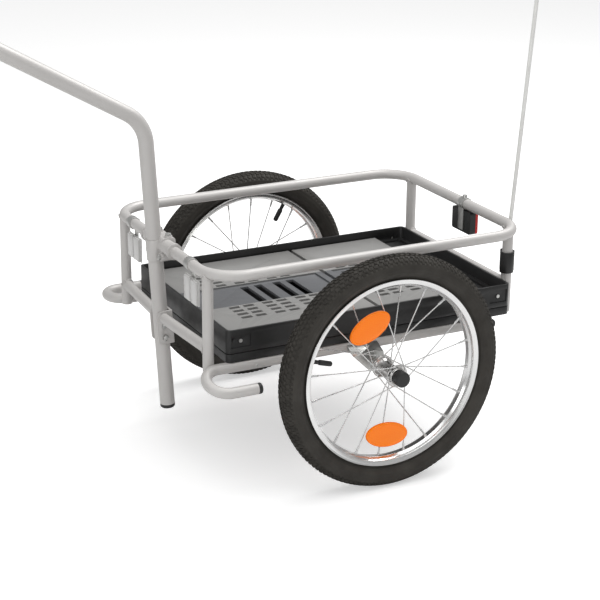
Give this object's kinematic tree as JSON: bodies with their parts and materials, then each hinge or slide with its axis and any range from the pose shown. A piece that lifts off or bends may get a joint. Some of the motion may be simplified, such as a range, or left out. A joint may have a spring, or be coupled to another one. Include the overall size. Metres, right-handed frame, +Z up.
{
  "type": "bicycle cargo trailer",
  "caption": "Cargo trailer for a bicycle: tube frame with spoked wheels, a flat-folded crate inside a rail and a high curved drawbar.",
  "frame": {"origin": "centre of the whole trailer's box, on the ground that the tyres stand on", "axes": "+X forward along the drawbar, +Y to the trailer's left, +Z up"},
  "size_m": [1.7428, 0.6226, 1.2053],
  "materials": {
    "silver_paint": "satin metallic",
    "zinc_steel": "zinc plated",
    "hub_alloy": "satin",
    "chrome_rim": "polished",
    "tyre_rubber": "matt",
    "tube_rubber": "matt",
    "black_plastic": "matt moulded",
    "grey_plastic": "matt moulded",
    "orange_plastic": "gloss",
    "white_reflector": "gloss",
    "red_lens": "gloss",
    "white_fibreglass": "satin",
    "pennant_cloth": "woven"
  },
  "bodies": {
    "frame": {"top_rail": "silver_paint", "front_posts": "silver_paint", "rear_posts": "silver_paint", "front_cross_rail": "silver_paint", "rear_cross_rail": "silver_paint", "runner_left": "silver_paint", "runner_right": "silver_paint", "cross_member_front": "silver_paint", "cross_member_middle": "silver_paint", "cross_member_rear": "silver_paint", "rear_straps": "silver_paint", "tube_end_caps": "black_plastic", "axle_carrier_left": "zinc_steel", "axle_carrier_right": "zinc_steel", "drawbar_tube": "silver_paint", "rail_joint": "silver_paint", "rail_joint_screws": "zinc_steel", "lower_bracket": "silver_paint", "bracket_bolts": "zinc_steel", "coupling_socket": "hub_alloy", "crate_base": "black_plastic", "crate_upper": "black_plastic", "crate_hinge_pins": "zinc_steel", "crate_rivets": "zinc_steel", "crate_side_leaf_left": "black_plastic", "crate_side_leaf_right": "black_plastic", "front_reflector_left": "white_reflector", "front_reflector_right": "white_reflector", "front_reflector_brackets": "zinc_steel", "rear_reflector_clamp": "zinc_steel", "rear_reflector_housing": "black_plastic", "rear_reflector_lens": "red_lens", "flag_rod": "white_fibreglass", "flag_holder": "black_plastic", "pennant": "pennant_cloth", "axle_left": "zinc_steel", "axle_right": "zinc_steel"},
    "swivel": {"swivel_fork": "hub_alloy", "pitch_pin": "zinc_steel"},
    "hitch_head": {"coupling_head": "hub_alloy"},
    "front_panel": {"crate_front_panel": "grey_plastic"},
    "rear_panel": {"crate_rear_panel": "grey_plastic"},
    "wheel_left": {"tyre_left": "tyre_rubber", "inner_tube_left": "tube_rubber", "rim_left": "chrome_rim", "spokes_left": "zinc_steel", "hub_left": "hub_alloy", "hub_bearings_left": "zinc_steel", "valve_left": "black_plastic", "spoke_reflectors_left": "orange_plastic"},
    "cap_left": {"release_cap_left": "black_plastic"},
    "wheel_right": {"tyre_right": "tyre_rubber", "inner_tube_right": "tube_rubber", "rim_right": "chrome_rim", "spokes_right": "zinc_steel", "hub_right": "hub_alloy", "hub_bearings_right": "zinc_steel", "valve_right": "black_plastic", "spoke_reflectors_right": "orange_plastic"},
    "cap_right": {"release_cap_right": "black_plastic"}
  },
  "joints": [
    {"name": "left_wheel_spin", "type": "hinge", "parent": "frame", "child": "wheel_left", "pos_m": [-0.30512, 0.267, 0.198], "axis": [0, 1, 0], "continuous": true},
    {"name": "left_cap_press", "type": "slide", "parent": "frame", "child": "cap_left", "axis": [0, -1, 0], "range_m": [0, 0.003], "stiffness_N_per_m": 500, "springref_m": -0.001},
    {"name": "right_wheel_spin", "type": "hinge", "parent": "frame", "child": "wheel_right", "pos_m": [-0.30512, -0.267, 0.198], "axis": [0, 1, 0], "continuous": true},
    {"name": "right_cap_press", "type": "slide", "parent": "frame", "child": "cap_right", "axis": [0, 1, 0], "range_m": [0, 0.003], "stiffness_N_per_m": 500, "springref_m": -0.001},
    {"name": "front_panel_lift", "type": "hinge", "parent": "frame", "child": "front_panel", "pos_m": [-0.06441, 0.008, 0.264], "axis": [0, 1, 0], "range_deg": [0, 90]},
    {"name": "rear_panel_lift", "type": "hinge", "parent": "frame", "child": "rear_panel", "pos_m": [-0.51812, 0.008, 0.264], "axis": [0, -1, 0], "range_deg": [0, 90]},
    {"name": "coupling_swivel", "type": "hinge", "parent": "frame", "child": "swivel", "pos_m": [0.78638, 0, 0.792], "axis": [1, 0, 0], "range_deg": [-45, 45]},
    {"name": "coupling_pitch", "type": "hinge", "parent": "swivel", "child": "hitch_head", "pos_m": [0.81037, 0, 0.792], "axis": [0, 1, 0], "range_deg": [-40, 40]}
  ]
}
